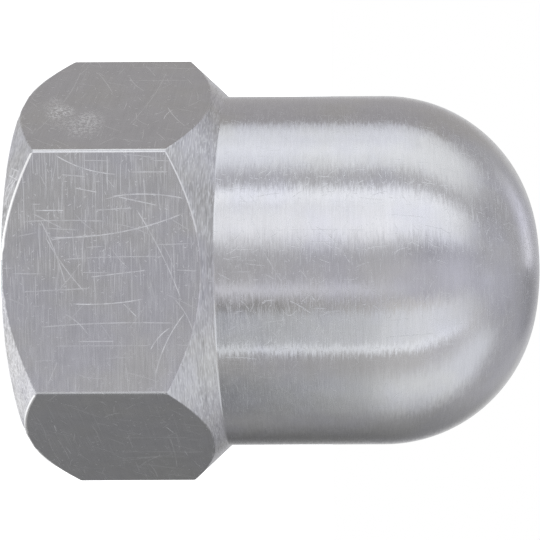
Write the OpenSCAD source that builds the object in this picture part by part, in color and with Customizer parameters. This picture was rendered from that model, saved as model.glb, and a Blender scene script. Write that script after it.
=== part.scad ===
// Cap nut: a hexagon with a blind threaded bore, closed by a turned dome.
// It is turned from a bar: one round section gives both chamfers, the crown and the dome,
// the flats are cut from it, and the bore is drilled from the bearing face.
// The origin is the centre of the bearing face. +Z runs up the axis, towards the dome.
// One flat of the hexagon faces -Y.

/* [Hexagon] */
// Distance across the flats
across_flats = 19; // [16:0.05:23]
// Height at which the upper chamfer meets the crown
hex_h = 9.53; // [7:0.01:12]
// Depth taken off each long corner
corner_cut = 0.03; // [0.01:0.01:0.1]
// Gap between the bearing face's rim and each flat
rim_inset = 0.02; // [0.01:0.01:0.5]
// Slope of the lower chamfer, measured from the axis
lower_chamfer_deg = 45; // [30:1:60]
// Slope of the upper chamfer, measured from the axis
upper_chamfer_deg = 43; // [30:1:60]

/* [Crown] */
// Height over all, from the bearing face to the top of the dome
nut_h = 25.46; // [21:0.01:32]
// Diameter of the crown's straight part
crown_d = 18.04; // [15:0.02:21.6]
// Radius of the arc that turns in from the straight part
shoulder_r = 7.88; // [6:0.02:9.5]
// Radius of the arc over the top
nose_r = 14.1; // [11.5:0.1:20]

/* [Bore] */
// Diameter of the bore inside the thread's crests
bore_d = 10.2; // [8:0.05:12.4]
// Diameter of the countersink at the bearing face
mouth_d = 13; // [12.5:0.05:15]
// Full angle of the countersink
mouth_angle = 90; // [60:5:120]
// Full angle of the drill point at the bore's end
point_angle = 118; // [90:1:140]
// Metal left between the drill point and the top of the dome
cap_wall = 3.9; // [2:0.1:6]

/* [Hidden] */
$fn = 96;

// How far a cutting shape runs past the face that it makes
past = 1;
// How far the arc over the top bites into the shoulder arc, so that the two cross cleanly
bite = 0.002;
// Least distance of the shoulder arc's centre from the axis
least_offset = 0.1;

flat_r = across_flats / 2;
corner_r = flat_r / cos(30);
eased_r = corner_r - corner_cut;
rim_r = flat_r - rim_inset;
crown_r = crown_d / 2;

// Heights at which each chamfer reaches the eased corners
lower_chamfer_top = (eased_r - rim_r) / tan(lower_chamfer_deg);
upper_chamfer_start = hex_h - (eased_r - crown_r) / tan(upper_chamfer_deg);

// The shoulder arc is a fillet, so the crown's own radius limits it.
// Its centre stands off the axis, and the arc over the top runs into it smoothly.
fillet_r = min(shoulder_r, crown_r - least_offset);
fillet_x = crown_r - fillet_r;
nose_drop = sqrt(pow(nose_r - fillet_r, 2) - pow(fillet_x, 2));
tangent_x = nose_r * fillet_x / (nose_r - fillet_r);
nose_z = nut_h - nose_r;
shoulder_z = nose_z + nose_drop + bite;

bore_r = bore_d / 2;
mouth_r = mouth_d / 2;
mouth_slope = tan(mouth_angle / 2);
mouth_depth = (mouth_r - bore_r) / mouth_slope;
point_h = bore_r / tan(point_angle / 2);
bore_h = nut_h - cap_wall - point_h;

// Half section of the turned blank up to the dome: bearing face, chamfers and straight crown
module bar_section() {
    polygon([
        [0, 0],
        [rim_r, 0],
        [eased_r, lower_chamfer_top],
        [eased_r, upper_chamfer_start],
        [crown_r, hex_h],
        [crown_r, shoulder_z],
        [0, shoulder_z]
    ]);
}

// Half section of the dome, which starts inside the straight crown
module dome_section() {
    intersection() {
        translate([0, shoulder_z - past])
            square([crown_r, nut_h]);
        translate([0, nose_z])
            circle(r = nose_r);
        union() {
            square([crown_r, shoulder_z]);
            translate([fillet_x, shoulder_z])
                circle(r = fillet_r);
            square([tangent_x, nut_h + past]);
        }
    }
}

// Half section of the bore: countersink, straight wall and drill point
module bore_section() {
    polygon([
        [0, -past],
        [mouth_r + past * mouth_slope, -past],
        [bore_r, mouth_depth],
        [bore_r, bore_h],
        [0, bore_h + point_h]
    ]);
}

module turned_blank() {
    rotate_extrude() {
        bar_section();
        dome_section();
    }
}

// What is cut away outside the six flats, up to the foot of the crown
module outside_flats() {
    difference() {
        translate([0, 0, -past])
            cylinder(r = corner_r + past, h = hex_h + past);
        translate([0, 0, -2 * past])
            cylinder(r = corner_r, h = hex_h + 3 * past, $fn = 6);
    }
}

module cap_nut() {
    color("silver")
        difference() {
            turned_blank();
            outside_flats();
            rotate_extrude()
                bore_section();
        }
}

cap_nut();
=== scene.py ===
"""Looks of the hexagon cap nut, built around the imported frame.

One closed mesh stands for the nut: a turned shell with a chamfered hexagon and a domed crown, and a
blind bore whose screw thread is made by Geometry Nodes. Lengths are in millimetres unless a name says
otherwise, and become metres where a mesh, a lamp or the camera is made.
"""

import logging
import math
from dataclasses import dataclass, field
from enum import Enum
from typing import Any, Sequence

import bmesh
import bpy
import numpy as np
from mathutils import Matrix, Vector

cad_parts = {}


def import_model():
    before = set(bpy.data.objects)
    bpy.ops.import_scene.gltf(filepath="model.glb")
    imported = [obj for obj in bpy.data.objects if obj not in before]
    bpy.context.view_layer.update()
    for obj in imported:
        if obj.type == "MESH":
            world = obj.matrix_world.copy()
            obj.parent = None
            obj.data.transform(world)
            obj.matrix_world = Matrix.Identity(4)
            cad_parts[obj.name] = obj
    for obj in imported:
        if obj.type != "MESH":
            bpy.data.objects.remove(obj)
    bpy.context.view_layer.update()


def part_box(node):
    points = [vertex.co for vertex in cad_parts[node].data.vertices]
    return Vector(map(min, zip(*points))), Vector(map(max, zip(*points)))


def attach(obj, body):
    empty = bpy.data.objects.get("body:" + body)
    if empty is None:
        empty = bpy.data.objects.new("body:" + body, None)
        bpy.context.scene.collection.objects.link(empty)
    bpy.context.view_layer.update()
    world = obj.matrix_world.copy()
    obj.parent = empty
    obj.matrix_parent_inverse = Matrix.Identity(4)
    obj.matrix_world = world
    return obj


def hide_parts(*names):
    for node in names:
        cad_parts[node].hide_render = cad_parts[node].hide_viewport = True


LOG = logging.getLogger("cap_nut")
MM = 0.001
MICRON = MM * MM
NODE = "cap_nut"
BODY = "root"
SURFACE_MAP = "surface"
RIGHT_ANGLE = math.pi / 2
EIGHTH_TURN = math.pi / 4
SIDE_TURN = math.pi / 3
UPPER_SIDE, FRONT, LOWER_SIDE = 3, 4, 5

Socket = bpy.types.NodeSocket
Colour = tuple[float, float, float]

WHITE: Colour = (1.0, 1.0, 1.0)
COOL: Colour = (0.98, 1.0, 1.02)
COOLER: Colour = (0.97, 0.99, 1.03)
PALE_LILAC: Colour = (0.98, 0.98, 1.04)
LILAC: Colour = (0.97, 0.97, 1.05)


class Zone(Enum):
    """A region of the nut with a finish of its own. The value is its material index."""

    FLAT = 0
    LOWER_CHAMFER = 1
    UPPER_CHAMFER = 2
    CROWN = 3
    # A paler finish, a painted highlight, on rounded edges and corners.
    EDGE = 4
    BEARING = 5
    BORE = 6
    # A white finish, a painted highlight, on the lower edges.
    LOWER_EDGE = 7
    WORN_FLAT = 8


@dataclass(frozen=True)
class Noise:
    """A three-dimensional noise, whose values lie round 0.5.

    Attributes:
        scale: How many lumps it has per unit.
        detail: How many finer layers it has.
        roughness: Strength of each finer layer.
    """

    scale: float
    detail: float
    roughness: float


class Desk:
    """A node tree being laid out, with one short call for each kind of node."""

    per_row = 12
    spacing = (180.0, -220.0)

    def __init__(self, tree: bpy.types.NodeTree) -> None:
        """Takes the tree that the nodes go in."""
        self.tree = tree

    @classmethod
    def for_owner(cls, owner: Any) -> "Desk":
        """Clears the tree of a material or a world and takes it.

        Args:
            owner: The material or world.

        Returns:
            A desk with its tree.
        """
        owner.use_nodes = True
        owner.node_tree.nodes.clear()
        return cls(owner.node_tree)

    @classmethod
    def for_group(cls, name: str, kind: str, inputs: dict[str, str], output: tuple[str, str]) -> "Desk":
        """Starts a node group.

        Args:
            name: The group's name.
            kind: Whether it is a Shader or a Geometry group.
            inputs: The kind of each input, by its name.
            output: Name and kind of its output.

        Returns:
            A desk with the group's tree.
        """
        tree = bpy.data.node_groups.new(name, f"{kind}NodeTree")
        for label, sort in inputs.items():
            tree.interface.new_socket(name=label, in_out="INPUT", socket_type=f"NodeSocket{sort}")
        tree.interface.new_socket(name=output[0], in_out="OUTPUT", socket_type=f"NodeSocket{output[1]}")
        return cls(tree)

    def add(self, kind: str, feeds: dict[Any, Any] | None = None, **settings: Any) -> bpy.types.Node:
        """Adds one node.

        Args:
            kind: The node's type.
            feeds: A socket to link or a constant for each input that gets one, by its name or number.
            **settings: Properties of the node to set.

        Returns:
            The new node.
        """
        node = self.tree.nodes.new(kind)
        for name, value in settings.items():
            setattr(node, name, value)
        for key, value in (feeds or {}).items():
            if isinstance(value, bpy.types.NodeSocket):
                self.tree.links.new(value, node.inputs[key])
            else:
                node.inputs[key].default_value = value
        row, column = divmod(len(self.tree.nodes), self.per_row)
        node.location = (column * self.spacing[0], row * self.spacing[1])
        return node

    def math(self, operation: str, *values: Any) -> Socket:
        """Works out a number from sockets and numbers."""
        return self.add("ShaderNodeMath", dict(enumerate(values)), operation=operation).outputs[0]

    def vector(self, operation: str, *values: Any) -> Socket:
        """Works out a vector from sockets and triples, or a number for a length or a dot product."""
        node = self.add("ShaderNodeVectorMath", dict(enumerate(values)), operation=operation)
        return node.outputs[1 if operation in ("LENGTH", "DOT_PRODUCT") else 0]

    def scale(self, vector: Any, factor: Any) -> Socket:
        """Scales a vector or a colour by a number."""
        return self.add("ShaderNodeVectorMath", {0: vector, "Scale": factor}, operation="SCALE").outputs[0]

    def turn(self, vector: Any, angle: Any) -> Socket:
        """Turns a vector about Z by an angle in radians."""
        feeds = {"Vector": vector, "Angle": angle}
        return self.add("ShaderNodeVectorRotate", feeds, rotation_type="Z_AXIS").outputs[0]

    def split(self, vector: Any) -> tuple[Socket, ...]:
        """Splits a vector into its three parts."""
        return tuple(self.add("ShaderNodeSeparateXYZ", {0: vector}).outputs)

    def join(self, x: Any, y: Any, z: Any) -> Socket:
        """Joins three numbers into a vector."""
        return self.add("ShaderNodeCombineXYZ", {0: x, 1: y, 2: z}).outputs[0]

    def signed(self, value: Any) -> Socket:
        """Spreads a number from 0 to 1 out over -1 to 1."""
        return self.math("MULTIPLY_ADD", value, 2.0, -1.0)

    def ease(self, value: Any, start: Any, end: Any, low: Any = 0.0, high: Any = 1.0) -> Socket:
        """Maps a value smoothly from one range to another.

        Args:
            value: What is mapped.
            start: Where the result is `low`. It may be the larger end.
            end: Where the result is `high`.
            low: Result at the start and before it.
            high: Result at the end and past it.

        Returns:
            The eased value.
        """
        feeds = dict(enumerate((value, start, end, low, high)))
        return self.add("ShaderNodeMapRange", feeds, interpolation_type="SMOOTHSTEP").outputs[0]

    def blend(self, share: Any, first: Any, second: Any) -> Socket:
        """Mixes two numbers by a share."""
        return self.add("ShaderNodeMix", {0: share, 2: first, 3: second}, data_type="FLOAT").outputs[0]

    def tint(self, share: Any, first: Any, second: Any) -> Socket:
        """Mixes two colours by a share. A colour is a socket or a triple."""
        pair = [(*colour, 1.0) if isinstance(colour, tuple) else colour for colour in (first, second)]
        return self.add("ShaderNodeMix", {0: share, 6: pair[0], 7: pair[1]}, data_type="RGBA").outputs[2]

    def noise(self, vector: Any, kind: Noise) -> Socket:
        """Reads a noise at a place."""
        feeds = {"Vector": vector, "Scale": kind.scale, "Detail": kind.detail, "Roughness": kind.roughness}
        return self.add("ShaderNodeTexNoise", feeds, noise_dimensions="3D").outputs[0]


def place_object(name: str, data: Any) -> bpy.types.Object:
    """Makes an object and links it to the scene.

    Args:
        name: Its name.
        data: Its mesh, lamp or camera.

    Returns:
        The object.
    """
    made = bpy.data.objects.new(name, data)
    bpy.context.scene.collection.objects.link(made)
    return made


def level(angle: float) -> np.ndarray:
    """Level unit vector in a direction."""
    return np.array([math.cos(angle), math.sin(angle)])


def once_round(count: int) -> list[tuple[int, int]]:
    """Pairs each place on a ring with the next one, and the last with the first."""
    return [(index, (index + 1) % count) for index in range(count)]


@dataclass
class NutSizes:
    """Sizes of the nut as it is machined."""

    flat_r: float = 9.5
    height: float = 25.46
    rim_inset: float = 0.02
    hex_h: float = 9.53
    crown_r: float = 9.02
    upper_slope: float = math.tan(math.radians(43.0))
    shoulder_r: float = 7.88
    nose_r: float = 14.1
    mouth_r: float = 6.5
    bore_r: float = 5.1
    bore_depth: float = 18.496
    point_height: float = 3.064
    corner_round: float = 0.2
    rim_round: float = 0.10
    edge_round: float = 0.20
    brow_round: float = 0.12
    foot_round: float = 0.15
    mouth_round: float = 0.15
    shoulder_ease: float = 1.6

    @classmethod
    def from_frame(cls) -> "NutSizes":
        """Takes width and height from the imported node, so that the looks fit the frame."""
        low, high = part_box(NODE)
        return cls(flat_r=(high.y - low.y) / 2 / MM, height=(high.z - low.z) / MM)

    @property
    def rim_r(self) -> float:
        """Radius of the bearing face's rim."""
        return self.flat_r - self.rim_inset

    @property
    def shoulder_x(self) -> float:
        """Distance of the shoulder arc's centre from the axis."""
        return self.crown_r - self.shoulder_r

    @property
    def nose_z(self) -> float:
        """Height of the nose arc's centre."""
        return self.height - self.nose_r

    @property
    def shoulder_z(self) -> float:
        """Height of the shoulder arc's centre, where the straight crown ends."""
        gap = self.nose_r - self.shoulder_r
        return self.nose_z + math.sqrt(gap * gap - self.shoulder_x * self.shoulder_x)

    @property
    def blend_angle(self) -> float:
        """Angle above the horizontal at which the shoulder arc runs into the nose arc."""
        return math.atan2(self.shoulder_z - self.nose_z, self.shoulder_x)


@dataclass
class Columns:
    """The upright lines of the shell: where each stands round the hexagon.

    Attributes:
        angle: Direction from the axis, in radians.
        reach: Distance from the axis to the hexagon's wall.
        facing: Level normal of the wall.
        around: Distance walked round the hexagon.
        rounded: Whether the column stands on a rounded corner, with the one after it.
    """

    angle: np.ndarray
    reach: np.ndarray
    facing: np.ndarray
    around: np.ndarray
    rounded: np.ndarray

    @classmethod
    def round_hexagon(cls, sizes: NutSizes, per_flat: int, per_corner: int) -> "Columns":
        """Stands columns evenly along each flat and round each rounded corner.

        Args:
            sizes: The nut's sizes.
            per_flat: Cells along one flat.
            per_corner: Cells round one corner.

        Returns:
            The columns, once round.
        """
        centre_r = (sizes.flat_r - sizes.corner_round) / math.cos(SIDE_TURN / 2)
        half = centre_r / 2
        places, facings, rounded = [], [], []
        for side in range(6):
            facing = SIDE_TURN * (side + 0.5)
            out = level(facing)
            along = np.array([-out[1], out[0]])
            for step in range(per_flat):
                shift = -half + 2 * half * step / per_flat
                places.append(out * sizes.flat_r + along * shift)
                facings.append(out)
                rounded.append(False)
            centre = centre_r * level(facing + SIDE_TURN / 2)
            for step in range(per_corner):
                normal = level(facing + SIDE_TURN * step / per_corner)
                places.append(centre + sizes.corner_round * normal)
                facings.append(normal)
                rounded.append(True)
        spots = np.array(places)
        steps = np.linalg.norm(np.roll(spots, -1, axis=0) - spots, axis=1)
        around = np.concatenate([[0.0], np.cumsum(steps)])
        return cls(
            angle=np.arctan2(spots[:, 1], spots[:, 0]),
            reach=np.linalg.norm(spots, axis=1),
            facing=np.array(facings),
            around=around,
            rounded=np.array(rounded),
        )


@dataclass
class Ring:
    """One level line of the shell, a point for each column.

    Attributes:
        radius: Distance of each point from the axis.
        height: Height of each point.
        normal: Outward normal at each point.
        rise: Height up to the dome and distance along the arc past it, for patterns.
        zone: Finish of the faces between this ring and the next.
    """

    radius: np.ndarray
    height: np.ndarray
    normal: np.ndarray
    rise: np.ndarray
    zone: Zone


class Draft:
    """The nut's mesh while it is built, with its true normals and its surface map kept in layers.

    The surface map runs round the nut and up it, in millimetres.
    """

    def __init__(self) -> None:
        """Starts an empty mesh."""
        self.mesh = bmesh.new()
        self.leaning = self.mesh.verts.layers.float_vector.new("leaning")
        self.laid = self.mesh.loops.layers.uv.new(SURFACE_MAP)

    def vertex(self, spot: Sequence[float], normal: Sequence[float]) -> bmesh.types.BMVert:
        """Adds a vertex.

        Args:
            spot: Its place.
            normal: Its true normal.

        Returns:
            The vertex.
        """
        made = self.mesh.verts.new([part * MM for part in spot])
        made[self.leaning] = Vector(normal)
        return made

    def face(self, corners: Sequence[Any], zone: Zone, places: Sequence[Any] = ()) -> None:
        """Adds a face.

        Args:
            corners: Its vertices.
            zone: Its finish.
            places: Where each corner lies on the surface map.
        """
        made = self.mesh.faces.new(corners)
        made.material_index = zone.value
        for loop, place in zip(made.loops, places):
            loop[self.laid].uv = place

    def ring(self, count: int, radius: float, height: float, turn: float) -> list[bmesh.types.BMVert]:
        """Adds a level ring of evenly spaced vertices.

        Args:
            count: How many there are.
            radius: The ring's radius.
            height: The ring's height.
            turn: Angle of the normals above the level.

        Returns:
            The vertices, once round.
        """
        made = []
        for index in range(count):
            x, y = level(2 * math.pi * index / count)
            normal = (math.cos(turn) * x, math.cos(turn) * y, math.sin(turn))
            made.append(self.vertex((radius * x, radius * y, height), normal))
        return made

    def band(self, lower: Sequence[Any], upper: Sequence[Any], zone: Zone) -> None:
        """Joins two rings of the same count with faces that look inwards."""
        for index, after in once_round(len(lower)):
            self.face([lower[after], lower[index], upper[index], upper[after]], zone)

    def _weld(self) -> None:
        """Joins the parts where they meet and turns every face outwards."""
        shaped = self.mesh
        bmesh.ops.remove_doubles(shaped, verts=shaped.verts, dist=MICRON / 2)
        bmesh.ops.recalc_face_normals(shaped, faces=shaped.faces)
        if shaped.calc_volume(signed=True) < 0:
            bmesh.ops.reverse_faces(shaped, faces=shaped.faces)
        for face in shaped.faces:
            face.smooth = True
        open_edges = sum(not edge.is_manifold for edge in shaped.edges)
        volume = shaped.calc_volume(signed=True) / MM ** 3
        LOG.info("%d faces, %d open edges, %.1f mm3", len(shaped.faces), open_edges, volume)

    def finished(self, name: str) -> bpy.types.Mesh:
        """Closes the draft and turns it into a plain mesh.

        Args:
            name: The mesh's name.

        Returns:
            The mesh, with its true normals, and the faces' own ones where none were given.
        """
        self._weld()
        self.mesh.normal_update()
        normals = [tuple(vertex[self.leaning] if vertex[self.leaning].length > 0.5 else vertex.normal)
                   for vertex in self.mesh.verts]
        self.mesh.verts.layers.float_vector.remove(self.leaning)
        mesh = bpy.data.meshes.new(name)
        self.mesh.to_mesh(mesh)
        self.mesh.free()
        mesh.normals_split_custom_set_from_vertices(normals)
        return mesh


@dataclass
class Shell:
    """The turned and milled outside of the nut, from the countersink's edge to the top of the dome.

    Attributes:
        sizes: The nut's sizes.
        per_flat: Cells along one flat.
        per_corner: Cells round one corner.
        mouth_columns: Cells round the bore.
        edge_steps: Rings round an edge. The other steps count the rings of one part each.
        worn_flat: The side with the most wear.
        brow_highlight_cells: Number of cells of its upper edge, from its start, that get a painted
            highlight.
        foot_highlight_cells: Number of cells of its lower edge, from its start, that get a painted
            highlight.
        bright_corners: The sides whose far corner gets a painted highlight nearly all round.
        highlit_foot_sides: The sides whose lower edge gets a painted highlight.
        columns: The shell's upright lines.
        rings: Its level lines, from the bearing face up.
    """

    sizes: NutSizes
    per_flat: int = 36
    per_corner: int = 6
    mouth_columns: int = 120
    edge_steps: int = 4
    chamfer_steps: int = 5
    wall_steps: int = 8
    crown_steps: int = 8
    ease_steps: int = 8
    shoulder_steps: int = 44
    nose_steps: int = 8
    worn_flat: int = FRONT
    brow_highlight_cells: int = 11
    foot_highlight_cells: int = 15
    bright_corners: tuple[int, ...] = (UPPER_SIDE,)
    highlit_foot_sides: tuple[int, ...] = (FRONT, LOWER_SIDE)
    columns: Columns = field(init=False)
    rings: list[Ring] = field(init=False, default_factory=list)

    def __post_init__(self) -> None:
        """Stands the columns and stacks the rings."""
        self.columns = Columns.round_hexagon(self.sizes, self.per_flat, self.per_corner)
        self._stack_foot()
        self._stack_brow()
        self._stack_crown()

    def _radial(self, turn: float) -> np.ndarray:
        """Turns each column's own direction up from the level.

        Args:
            turn: The angle above the level.

        Returns:
            A normal for each column.
        """
        angle = self.columns.angle
        up = np.full_like(angle, math.sin(turn))
        return np.stack([math.cos(turn) * np.cos(angle), math.cos(turn) * np.sin(angle), up], axis=1)

    def _walls(self) -> np.ndarray:
        """Normals of the hexagon's walls."""
        return np.concatenate([self.columns.facing, np.zeros((len(self.columns.angle), 1))], axis=1)

    def _add(self, radius: Any, height: Any, normal: np.ndarray, zone: Zone, rise: Any = None) -> None:
        """Adds a ring, whose radius, height and rise may each be one number for all columns.

        Args:
            radius: Distance from the axis.
            height: Height of its points.
            normal: Outward normals, of any length.
            zone: Finish of the faces above it.
            rise: Place up the surface map, if it isn't the height.
        """
        count = len(self.columns.angle)
        given = (radius, height, height if rise is None else rise)
        radius, height, rise = (np.broadcast_to(np.asarray(value, float), (count,)).copy()
                                for value in given)
        unit = normal / np.linalg.norm(normal, axis=1, keepdims=True)
        self.rings.append(Ring(radius, height, unit, rise, zone))

    def _roll(self, ball: Any, centre: tuple[Any, Any], turns: tuple[float, float],
              normals: tuple[np.ndarray, np.ndarray], zone: Zone) -> None:
        """Rounds an edge with the ball that fits it.

        Args:
            ball: The ball's radius, one for all columns or one each.
            centre: Distance of its centre from the axis, in each column, and its height.
            turns: Angles above the level at which the rounding starts and ends.
            normals: Normals where it starts and where it ends.
            zone: Its finish.
        """
        for step in range(self.edge_steps):
            share = step / self.edge_steps
            turn = turns[0] + (turns[1] - turns[0]) * share
            self._add(centre[0] + ball * math.cos(turn), centre[1] + ball * math.sin(turn),
                      normals[0] * (1 - share) + normals[1] * share, zone)

    def _slope(self, start: tuple[Any, Any], end: tuple[Any, Any], steps: int,
               normal: np.ndarray, zone: Zone) -> None:
        """Adds rings along a straight part of the section.

        Args:
            start: Radius and height where it starts.
            end: Radius and height where it ends, which the next part adds.
            steps: Number of rings.
            normal: Normals along it.
            zone: Its finish.
        """
        for step in range(steps):
            share = step / steps
            radius, height = (low + (high - low) * share for low, high in zip(start, end))
            self._add(radius, height, normal, zone)

    def _stack_foot(self) -> None:
        """Stacks the rim of the bearing face and the lower chamfer, with their rounded edges."""
        small, ball = self.sizes.rim_round, self.edge_ball
        lean = math.cos(EIGHTH_TURN)
        inner = self.columns.reach - ball
        rim = np.minimum(self.sizes.rim_r - small * (math.sqrt(2) - 1), inner)
        start = (rim + small * lean, small - small * lean)
        end = (inner + ball * lean, self.foot - ball * lean)
        lower = self._radial(-EIGHTH_TURN)
        # Both rounded edges are laid in the white rim zone, a painted highlight; _zone keeps it only on
        # some sides.
        self._roll(small, (rim, small), (-RIGHT_ANGLE, -EIGHTH_TURN), (self._radial(-RIGHT_ANGLE), lower),
                   Zone.LOWER_EDGE)
        self._slope(start, end, self.chamfer_steps, lower, Zone.LOWER_CHAMFER)
        self._roll(ball, (inner, self.foot), (-EIGHTH_TURN, 0.0), (lower, self._walls()), Zone.LOWER_EDGE)

    def _stack_brow(self) -> None:
        """Stacks the flats and the upper chamfer, up to the small hollow at the crown's foot."""
        s, ball = self.sizes, self.sizes.brow_round
        tilt = math.atan(s.upper_slope)
        reach = self.columns.reach
        inner = reach - ball
        brow = (s.crown_r + s.hex_h * s.upper_slope - ball / math.cos(tilt) - inner) / s.upper_slope
        upper = self._radial(tilt)
        self._slope((reach, self.foot), (reach, brow), self.wall_steps, self._walls(), Zone.FLAT)
        # The brow is laid in the paler edge zone, a painted highlight; _zone keeps it only at the start of
        # the worn flat.
        self._roll(ball, (inner, brow), (0.0, tilt), (self._walls(), upper), Zone.EDGE)
        centre_r, centre_z = s.crown_r + s.foot_round, self.crown_start
        end = (centre_r - s.foot_round * math.cos(tilt), centre_z - s.foot_round * math.sin(tilt))
        self._slope((inner + ball * math.cos(tilt), brow + ball * math.sin(tilt)), end,
                    self.chamfer_steps, upper, Zone.UPPER_CHAMFER)
        for step in range(self.edge_steps):
            turn = tilt * (1 - step / self.edge_steps)
            self._add(centre_r - s.foot_round * math.cos(turn), centre_z - s.foot_round * math.sin(turn),
                      self._radial(turn), Zone.CROWN)

    @property
    def edge_ball(self) -> np.ndarray:
        """Radius of the edge under each column's wall, smaller where the lower chamfer is narrow."""
        s = self.sizes
        room = (self.columns.reach - s.rim_r) / (1 - math.sqrt(0.5)) - s.rim_round
        return np.clip(room, s.rim_round, s.edge_round)

    @property
    def foot(self) -> np.ndarray:
        """Height at which each column's wall starts, above the rounded edge of the lower chamfer."""
        ball = self.edge_ball
        return np.maximum(self.columns.reach - self.sizes.rim_r + ball * (math.sqrt(2) - 1), ball)

    @property
    def crown_start(self) -> float:
        """Height at which the hollow runs into the straight crown."""
        tilt = math.atan(self.sizes.upper_slope)
        return self.sizes.hex_h + self.sizes.foot_round * math.tan(tilt / 2)

    def _eased(self, past: float, turn: float) -> float:
        """Eases the normal into the shoulder, so that highlights run from crown to dome without a seam.

        Args:
            past: Distance along the section past the start of the shoulder, negative before it.
            turn: The section's own turn there.

        Returns:
            The turn that the normal gets.
        """
        reach = self.sizes.shoulder_ease
        if abs(past) >= reach:
            return turn
        return (past + reach) ** 2 / (4 * reach * self.sizes.shoulder_r)

    def _stack_crown(self) -> None:
        """Stacks the straight crown, the shoulder arc and the nose arc."""
        s = self.sizes
        self._slope((s.crown_r, self.crown_start), (s.crown_r, s.shoulder_z - s.shoulder_ease),
                    self.crown_steps, self._radial(0.0), Zone.CROWN)
        for step in range(self.ease_steps):
            past = s.shoulder_ease * (step / self.ease_steps - 1)
            self._add(s.crown_r, s.shoulder_z + past, self._radial(self._eased(past, 0.0)), Zone.CROWN)
        arcs = ((s.shoulder_x, s.shoulder_z, s.shoulder_r, 0.0, s.blend_angle, self.shoulder_steps),
                (0.0, s.nose_z, s.nose_r, s.blend_angle, RIGHT_ANGLE, self.nose_steps))
        rise = s.shoulder_z
        for centre_r, centre_z, radius, start, end, steps in arcs:
            for step in range(steps):
                turn = start + (end - start) * step / steps
                self._add(centre_r + radius * math.cos(turn), centre_z + radius * math.sin(turn),
                          self._radial(self._eased(radius * turn, turn)), Zone.CROWN,
                          rise + radius * (turn - start))
            rise += radius * (end - start)

    def _zone(self, ring: Ring, column: int) -> Zone:
        """Finish of one face.

        Args:
            ring: The ring under it.
            column: The column before it.

        Returns:
            The ring's own zone, or the one that takes its place at a corner, on the worn flat or on an
            edge that gets no painted highlight.
        """
        side, place = divmod(column, self.per_flat + self.per_corner)
        # A rounded corner's cells take the paler edge finish, a painted highlight: all but the middle one
        # on the bright corners, the first third elsewhere.
        if ring.zone is Zone.FLAT and self.columns.rounded[column]:
            step = place - self.per_flat
            if side in self.bright_corners:
                return Zone.FLAT if step == self.per_corner // 2 else Zone.EDGE
            return Zone.EDGE if step < self.per_corner // 3 else Zone.FLAT
        if ring.zone is Zone.FLAT and side == self.worn_flat:
            return Zone.WORN_FLAT
        # An upper edge keeps the paler edge finish, a painted highlight, only over the first cells of the
        # worn flat; elsewhere it takes the upper chamfer's finish.
        if ring.zone is Zone.EDGE and (side != self.worn_flat or place > self.brow_highlight_cells):
            return Zone.UPPER_CHAMFER
        # A lower edge takes the white rim finish, a painted highlight, on the listed sides, and on the worn
        # flat only over its first cells; elsewhere the lower chamfer's.
        without_highlight = side not in self.highlit_foot_sides or (side == self.worn_flat and place > self.foot_highlight_cells)
        if ring.zone is Zone.LOWER_EDGE and without_highlight:
            return Zone.LOWER_CHAMFER
        return ring.zone

    def lay(self, draft: Draft) -> None:
        """Lays the shell's vertices and faces.

        Args:
            draft: The nut's mesh.
        """
        angle, around = self.columns.angle, self.columns.around
        rows = []
        for ring in self.rings:
            x, y = ring.radius * np.cos(angle), ring.radius * np.sin(angle)
            rows.append([draft.vertex(*given) for given in zip(zip(x, y, ring.height), ring.normal)])
        for ring, above, row, upper in zip(self.rings, self.rings[1:], rows, rows[1:]):
            for index, after in once_round(len(angle)):
                places = ((around[index], ring.rise[index]), (around[index + 1], ring.rise[after]),
                          (around[index + 1], above.rise[after]), (around[index], above.rise[index]))
                corners = [row[index], row[after], upper[after], upper[index]]
                draft.face(corners, self._zone(ring, index), places)
        apex = draft.vertex((0.0, 0.0, self.sizes.height), (0.0, 0.0, 1.0))
        last = self.rings[-1]
        for index, after in once_round(len(angle)):
            middle = (around[index] + around[index + 1]) / 2
            places = ((around[index], last.rise[index]), (around[index + 1], last.rise[after]),
                      (middle, last.rise[index] + last.radius[index]))
            draft.face([rows[-1][index], rows[-1][after], apex], Zone.CROWN, places)
        self._close_mouth(draft, rows[0])

    def _close_mouth(self, draft: Draft, rim: list) -> None:
        """Closes the bearing face from the rim to the rounded edge of the countersink.

        Args:
            draft: The nut's mesh.
            rim: The outside's lowest ring.
        """
        ball = self.sizes.mouth_round
        centre_r = self.sizes.mouth_r + ball * (math.sqrt(2) - 1)
        rings = []
        for step in range(self.edge_steps + 1):
            turn = -RIGHT_ANGLE - EIGHTH_TURN * step / self.edge_steps
            radius, height = centre_r + ball * math.cos(turn), ball + ball * math.sin(turn)
            rings.append(draft.ring(self.mouth_columns, radius, height, turn))
        # The countersink's rounded edge takes the paler edge finish, a painted highlight.
        for lower, upper in zip(rings, rings[1:]):
            draft.band(lower, upper, Zone.EDGE)
        for corners in ladder(rim, rings[0]):
            draft.face(corners, Zone.BEARING, [(vertex.co.x / MM, vertex.co.y / MM) for vertex in corners])


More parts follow.
